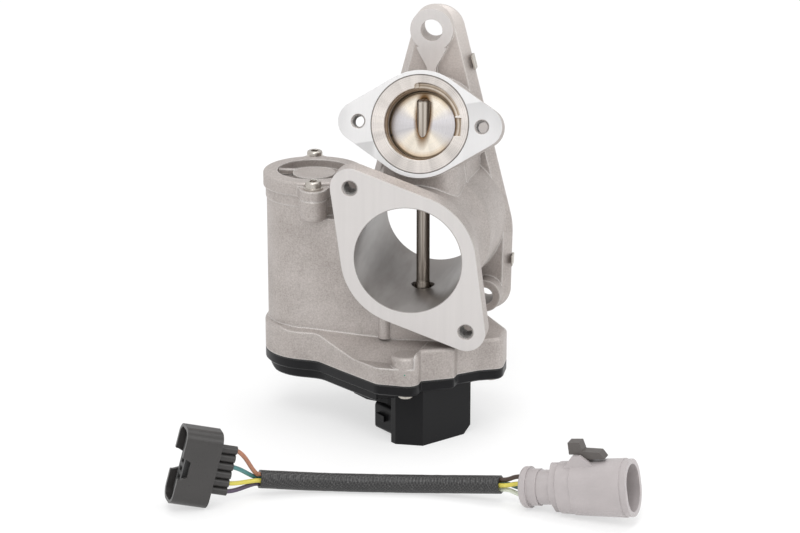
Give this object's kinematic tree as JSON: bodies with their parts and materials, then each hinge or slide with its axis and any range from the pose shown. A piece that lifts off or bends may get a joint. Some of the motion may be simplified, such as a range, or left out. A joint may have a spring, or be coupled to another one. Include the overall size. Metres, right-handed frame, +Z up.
{
  "type": "exhaust gas recirculation valve",
  "caption": "Electric exhaust recirculation valve: cast air duct with flanges, geared motor turning a flap in a tilted port, and a sleeved adapter lead with plug and socket",
  "frame": {"origin": "centre of the air duct on the face of its front flange", "axes": "+X right seen from the front, +Y along the duct to the rear plate, +Z up along the flap shaft"},
  "size_m": [0.2084, 0.1841, 0.1925],
  "materials": {
    "cast_aluminium": "sand cast, fine matte grain, machined on its flange faces",
    "seat_steel": "turned, heat tinted",
    "flap_steel": "polished, straw heat tint",
    "shaft_steel": "ground, brown heat tint",
    "bearing_steel": "ground",
    "spring_steel": "drawn wire and strip",
    "zinc_steel": "zinc plated",
    "bronze": "sintered bronze",
    "gear_plastic": "moulded, unpainted",
    "copper_alloy": "stamped, tinned",
    "black_rubber": "moulded",
    "black_plastic": "moulded, glass filled",
    "board_green": "lacquered circuit board",
    "magnet_grey": "moulded ferrite",
    "gasket_sheet": "fibre sheet with pale steel tabs",
    "grey_plastic": "moulded",
    "pale_plastic": "moulded, faintly translucent",
    "sleeve_plastic": "flexible sleeve, dull",
    "wire_brown": "wire insulation",
    "wire_teal": "wire insulation",
    "wire_yellow": "wire insulation",
    "wire_violet": "wire insulation",
    "wire_green": "wire insulation",
    "wire_white": "wire insulation",
    "wire_dark_brown": "wire insulation"
  },
  "bodies": {
    "valve_body": {"main_housing": "cast_aluminium", "seat_ring": "seat_steel", "guide_bush": "bronze", "shaft_seal": "black_rubber", "shaft_bearing": "bearing_steel", "return_spring": "spring_steel", "intermediate_pin": "bearing_steel", "motor_can": "zinc_steel", "motor_screws": "zinc_steel", "motor_contacts": "copper_alloy", "motor_cap": "cast_aluminium", "cap_seal": "black_rubber", "wave_washer": "spring_steel", "cap_screws": "zinc_steel", "gear_cover": "black_plastic", "connector_pins": "copper_alloy", "cover_gasket": "black_rubber", "cover_screws": "zinc_steel", "sensor_board": "board_green", "lead_frame": "copper_alloy", "rear_gasket": "gasket_sheet", "lead_socket_housing": "grey_plastic", "lead_socket_insert": "pale_plastic", "lead_socket_terminals": "copper_alloy", "lead_sleeve": "sleeve_plastic", "socket_wire_brown": "wire_brown", "socket_wire_teal": "wire_teal", "socket_wire_yellow": "wire_yellow", "socket_wire_violet": "wire_violet", "plug_wire_dark_brown": "wire_dark_brown", "plug_wire_yellow": "wire_yellow", "plug_wire_green": "wire_green", "plug_wire_white": "wire_white", "lead_plug_cap": "black_plastic", "lead_plug_housing": "pale_plastic", "lead_plug_clip": "grey_plastic", "lead_plug_pins": "copper_alloy"},
    "flap": {"valve_shaft": "shaft_steel", "flap_disc": "flap_steel", "piston_ring": "spring_steel", "sector_gear": "gear_plastic", "sensor_magnet": "magnet_grey"},
    "intermediate": {"intermediate_gear": "gear_plastic"},
    "rotor": {"rotor_shaft": "bearing_steel", "motor_pinion": "copper_alloy"}
  },
  "joints": [
    {"name": "flap_turn", "type": "hinge", "parent": "valve_body", "child": "flap", "pos_m": [0, 0.0405, 0.0534], "axis": [0, 0, 1], "range_deg": [0, 75], "stiffness_Nm_per_rad": 0.02, "springref_deg": -28.65},
    {"name": "intermediate_turn", "type": "hinge", "parent": "valve_body", "child": "intermediate", "pos_m": [-0.03, 0.0405, -0.049], "axis": [0, 0, 1], "range_deg": [-302, 2]},
    {"name": "rotor_turn", "type": "hinge", "parent": "valve_body", "child": "rotor", "pos_m": [-0.0524, 0.0405, -0.049], "axis": [0, 0, 1], "range_deg": [-2, 1102]}
  ],
  "couplings": [
    {"joint": "intermediate_turn", "follows": "flap_turn", "ratio": -4},
    {"joint": "rotor_turn", "follows": "flap_turn", "ratio": 14.667}
  ]
}
